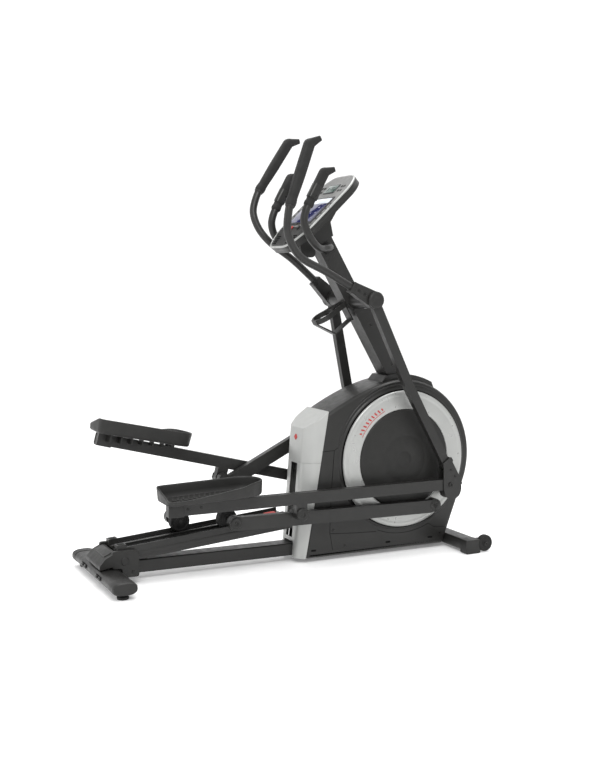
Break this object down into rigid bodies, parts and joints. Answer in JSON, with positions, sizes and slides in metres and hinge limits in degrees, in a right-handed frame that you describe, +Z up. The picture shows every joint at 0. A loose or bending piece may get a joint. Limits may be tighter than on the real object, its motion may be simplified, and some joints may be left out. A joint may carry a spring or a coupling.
{
  "type": "elliptical trainer",
  "caption": "Front-drive elliptical trainer: round drive cover, two pedals on long arms over a rear ramp, swinging handlebars, fixed grips, leaning mast and console.",
  "frame": {"origin": "on the floor under the middle of the machine's bounding box", "axes": "+X towards the console and the front wheels, +Y to the user's left, +Z up"},
  "size_m": [1.754, 0.614, 1.8422],
  "materials": {
    "powder_coat": "satin",
    "black_plastic": "fine grain",
    "silver_plastic": "silver painted, satin",
    "black_rubber": "matt",
    "steel": "machined",
    "screen": "clear window"
  },
  "bodies": {
    "base": {"base_rail": "powder_coat", "rear_stabiliser": "powder_coat", "front_stabiliser": "powder_coat", "front_cap_right": "black_plastic", "front_cap_left": "black_plastic", "rear_pivot_cover": "black_plastic", "frame_upright": "powder_coat", "flywheel_bracket": "powder_coat", "lift_motor": "black_plastic", "shroud_right": "black_plastic", "shroud_left": "black_plastic", "rear_shield_upper": "silver_plastic", "rear_shield_lower": "silver_plastic", "top_cover": "black_plastic", "power_inlet": "black_rubber", "lower_mast": "black_plastic", "upper_mast": "powder_coat", "swing_axle": "steel", "bottle_holder": "black_plastic", "console_housing": "black_plastic", "console_face": "silver_plastic", "console_display": "screen", "console_lcd": "screen", "fixed_handlebar": "powder_coat", "fixed_grip_right": "black_rubber", "fixed_grip_left": "black_rubber", "drive_belt": "black_rubber"},
    "right_foot": {"levelling_foot_right": "black_rubber"},
    "left_foot": {"levelling_foot_left": "black_rubber"},
    "right_transport_wheel": {"transport_wheel_right": "black_rubber"},
    "left_transport_wheel": {"transport_wheel_left": "black_rubber"},
    "ramp": {"ramp": "powder_coat"},
    "lift": {"lift_screw": "steel"},
    "crank": {"crank_axle": "steel", "crank_pulley": "black_plastic", "crank_arm_right": "steel", "crank_arm_left": "steel", "crank_disc_right": "black_plastic", "crank_disc_left": "black_plastic", "disc_ring_right": "silver_plastic", "disc_ring_left": "silver_plastic"},
    "flywheel": {"flywheel": "steel"},
    "start_key": {"start_button": "black_rubber"},
    "stop_key": {"stop_button": "black_rubber"},
    "right_leg": {"swing_leg_right": "powder_coat", "swing_bar_right": "powder_coat", "swing_grip_right": "black_rubber"},
    "right_pedal_arm": {"pedal_arm_right": "powder_coat", "pedal_right": "black_plastic", "pivot_pin_right": "black_plastic"},
    "right_roller_arm": {"roller_arm_right": "powder_coat"},
    "right_roller": {"roller_right": "black_rubber"},
    "left_leg": {"swing_leg_left": "powder_coat", "swing_bar_left": "powder_coat", "swing_grip_left": "black_rubber"},
    "left_pedal_arm": {"pedal_arm_left": "powder_coat", "pedal_left": "black_plastic", "pivot_pin_left": "black_plastic"},
    "left_roller_arm": {"roller_arm_left": "powder_coat"},
    "left_roller": {"roller_left": "black_rubber"}
  },
  "joints": [
    {"name": "crank_spin", "type": "hinge", "parent": "base", "child": "crank", "pos_m": [0.504, 0, 0.422], "axis": [0, -1, 0], "continuous": true},
    {"name": "flywheel_spin", "type": "hinge", "parent": "base", "child": "flywheel", "pos_m": [0.234, 0, 0.3], "axis": [0, -1, 0], "continuous": true},
    {"name": "right_swing", "type": "hinge", "parent": "base", "child": "right_leg", "pos_m": [0.303, -0.193, 1.123], "axis": [0, -1, 0], "range_deg": [-24.5, 9.3]},
    {"name": "left_swing", "type": "hinge", "parent": "base", "child": "left_leg", "pos_m": [0.303, 0.193, 1.123], "axis": [0, -1, 0], "range_deg": [-9.3, 24.5]},
    {"name": "right_pedal_hinge", "type": "hinge", "parent": "right_leg", "child": "right_pedal_arm", "pos_m": [0.68954, -0.1875, 0.30691], "axis": [0, -1, 0], "range_deg": [-5.5, 13.8]},
    {"name": "right_roller_arm_hinge", "type": "hinge", "parent": "right_pedal_arm", "child": "right_roller_arm", "pos_m": [-0.03729, -0.147, 0.2393], "axis": [0, -1, 0], "range_deg": [-6, 14.9]},
    {"name": "right_roller_spin", "type": "hinge", "parent": "right_roller_arm", "child": "right_roller", "pos_m": [-0.31453, -0.053, 0.22048], "axis": [0, -1, 0], "continuous": true},
    {"name": "left_pedal_hinge", "type": "hinge", "parent": "left_leg", "child": "left_pedal_arm", "pos_m": [0.47324, 0.1875, 0.23619], "axis": [0, -1, 0], "range_deg": [-18, 7]},
    {"name": "left_roller_arm_hinge", "type": "hinge", "parent": "left_pedal_arm", "child": "left_roller_arm", "pos_m": [-0.24791, 0.147, 0.3493], "axis": [0, -1, 0], "range_deg": [-16.9, 6.7]},
    {"name": "left_roller_spin", "type": "hinge", "parent": "left_roller_arm", "child": "left_roller", "pos_m": [-0.48544, 0.053, 0.2051], "axis": [0, -1, 0], "continuous": true},
    {"name": "ramp_tilt", "type": "hinge", "parent": "base", "child": "ramp", "pos_m": [-0.766, 0, 0.098], "axis": [0, -1, 0], "range_deg": [-3, 0]},
    {"name": "lift_slide", "type": "slide", "parent": "base", "child": "lift", "axis": [0, 0, 1], "range_m": [-0.045, 0]},
    {"name": "right_transport_wheel_spin", "type": "hinge", "parent": "base", "child": "right_transport_wheel", "pos_m": [0.84, -0.2563, 0.04], "axis": [0, -1, 0], "continuous": true},
    {"name": "right_foot_height", "type": "slide", "parent": "base", "child": "right_foot", "axis": [0, 0, 1], "range_m": [-0.008, 0.003]},
    {"name": "left_transport_wheel_spin", "type": "hinge", "parent": "base", "child": "left_transport_wheel", "pos_m": [0.84, 0.2563, 0.04], "axis": [0, -1, 0], "continuous": true},
    {"name": "left_foot_height", "type": "slide", "parent": "base", "child": "left_foot", "axis": [0, 0, 1], "range_m": [-0.008, 0.003]},
    {"name": "start_press", "type": "slide", "parent": "base", "child": "start_key", "axis": [0.6884, 0, -0.7254], "range_m": [0, 0.002], "stiffness_N_per_m": 400},
    {"name": "stop_press", "type": "slide", "parent": "base", "child": "stop_key", "axis": [0.6884, 0, -0.7254], "range_m": [0, 0.002], "stiffness_N_per_m": 400}
  ],
  "couplings": [
    {"joint": "flywheel_spin", "follows": "crank_spin", "ratio": 5.5},
    {"joint": "left_swing", "follows": "right_swing", "ratio": -1},
    {"joint": "right_pedal_hinge", "follows": "right_swing", "ratio": -0.5415},
    {"joint": "right_roller_arm_hinge", "follows": "right_swing", "ratio": -0.587},
    {"joint": "left_pedal_hinge", "follows": "right_swing", "ratio": 0.7168},
    {"joint": "left_roller_arm_hinge", "follows": "right_swing", "ratio": 0.6703},
    {"joint": "lift_slide", "follows": "ramp_tilt", "m_per_rad": 0.838}
  ]
}
